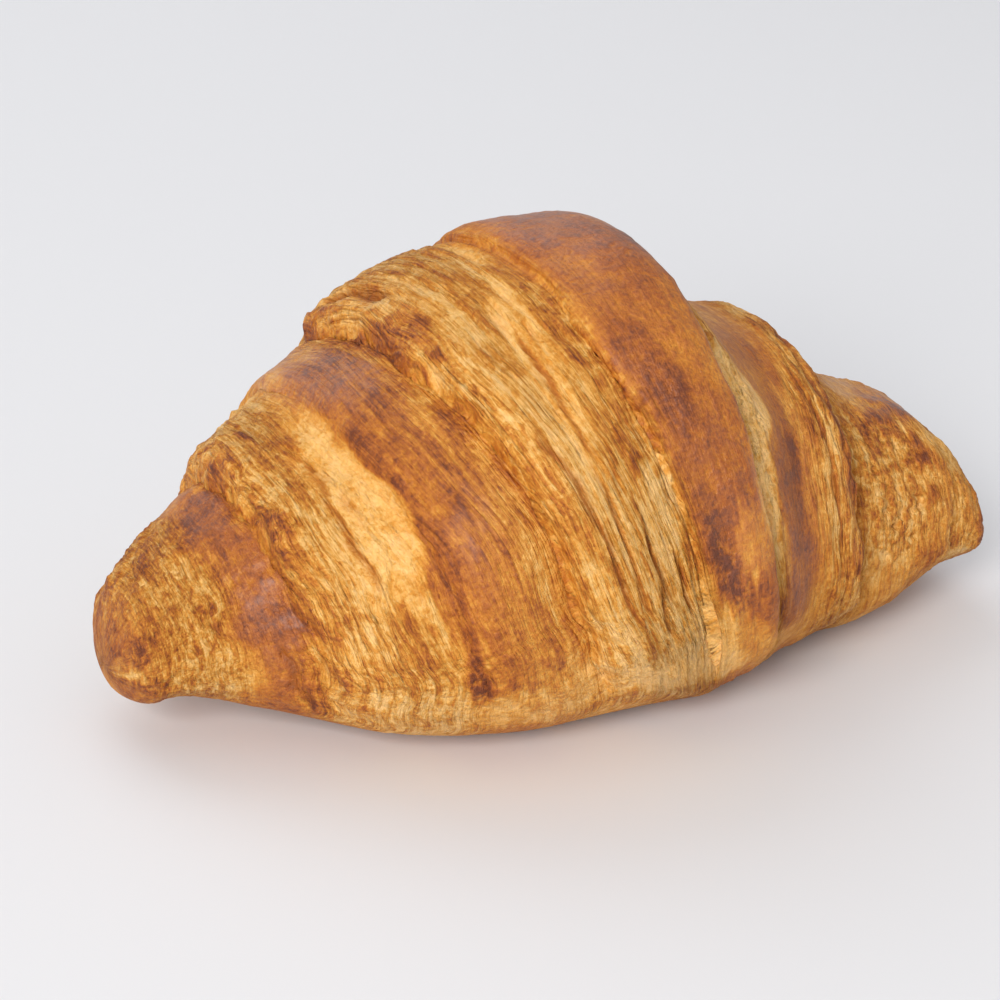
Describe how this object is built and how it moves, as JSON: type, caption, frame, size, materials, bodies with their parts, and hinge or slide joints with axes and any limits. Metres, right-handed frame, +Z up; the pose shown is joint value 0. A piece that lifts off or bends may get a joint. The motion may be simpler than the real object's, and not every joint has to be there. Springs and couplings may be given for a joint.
{
  "type": "croissant",
  "caption": "Crescent-shaped rolled butter pastry baked in one piece, with overlapping flaky wraps, lying on its flat underside.",
  "frame": {"origin": "on the surface the croissant rests on, under the centre of its box", "axes": "+X along the length towards the tip that is raised a little, +Y away from the side the crescent bends to, +Z up"},
  "size_m": [0.15, 0.0868, 0.0749],
  "materials": {
    "crust": null
  },
  "bodies": {
    "root": {"croissant": "crust"}
  },
  "joints": []
}
